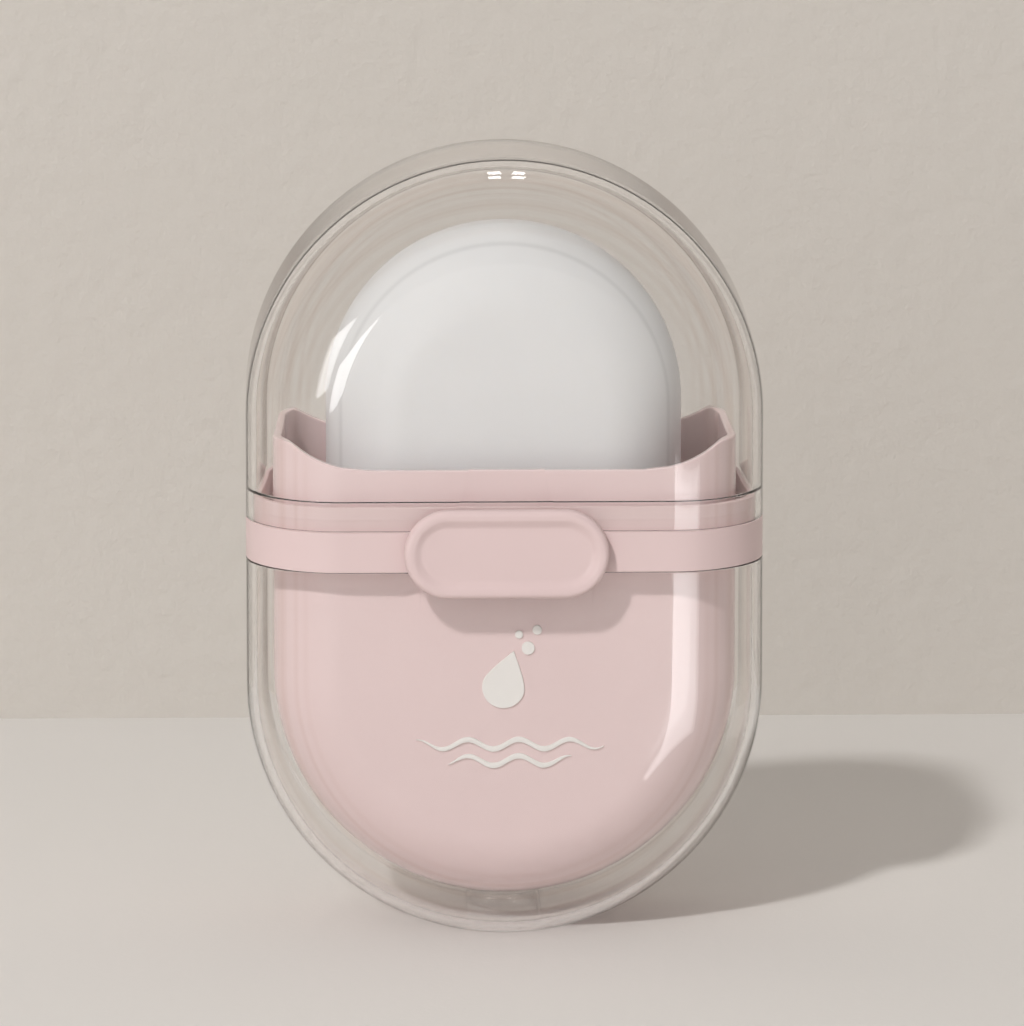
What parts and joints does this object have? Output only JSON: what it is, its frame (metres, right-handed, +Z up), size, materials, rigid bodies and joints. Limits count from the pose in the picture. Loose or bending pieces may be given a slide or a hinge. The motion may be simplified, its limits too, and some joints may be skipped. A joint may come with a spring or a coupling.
{
  "type": "travel soap box",
  "caption": "Clear pill-shaped travel soap case that stands on end, with a coloured collar, rocking press latches, a lift-off lid, a drained inner cup and a bar of soap.",
  "frame": {"origin": "under the middle of the foot that the case stands on", "axes": "X across the wide face, Y from the front face to the back, Z up; the front latch faces -Y"},
  "size_m": [0.08, 0.0514, 0.1215],
  "materials": {
    "clear_plastic": "clear, polished",
    "pink_plastic": "satin moulding",
    "seal_silicone": "milky pink silicone, matt",
    "pin_steel": "drawn wire",
    "soap": "smooth, satin"
  },
  "bodies": {
    "base": {"base_shell": "clear_plastic", "collar_ring": "pink_plastic", "soap_cup": "pink_plastic", "drain_tray": "pink_plastic", "seal_ring": "seal_silicone", "front_latch_pin": "pin_steel", "rear_latch_pin": "pin_steel"},
    "lid": {"lid_shell": "clear_plastic"},
    "front_button": {"front_latch_button": "pink_plastic"},
    "rear_button": {"rear_latch_button": "pink_plastic"},
    "soap": {"soap_bar": "soap"}
  },
  "joints": [
    {"name": "lid_lift", "type": "slide", "parent": "base", "child": "lid", "axis": [0, 0, 1], "range_m": [0, 0.06]},
    {"name": "front_button_press", "type": "hinge", "parent": "base", "child": "front_button", "pos_m": [0, -0.0214, 0.06195], "axis": [1, 0, 0], "range_deg": [0, 8], "stiffness_Nm_per_rad": 0.1},
    {"name": "rear_button_press", "type": "hinge", "parent": "base", "child": "rear_button", "pos_m": [0, 0.0214, 0.06195], "axis": [-1, 0, 0], "range_deg": [0, 8], "stiffness_Nm_per_rad": 0.1},
    {"name": "soap_lift", "type": "slide", "parent": "base", "child": "soap", "axis": [0, 0, 1], "range_m": [0, 0.009]}
  ]
}
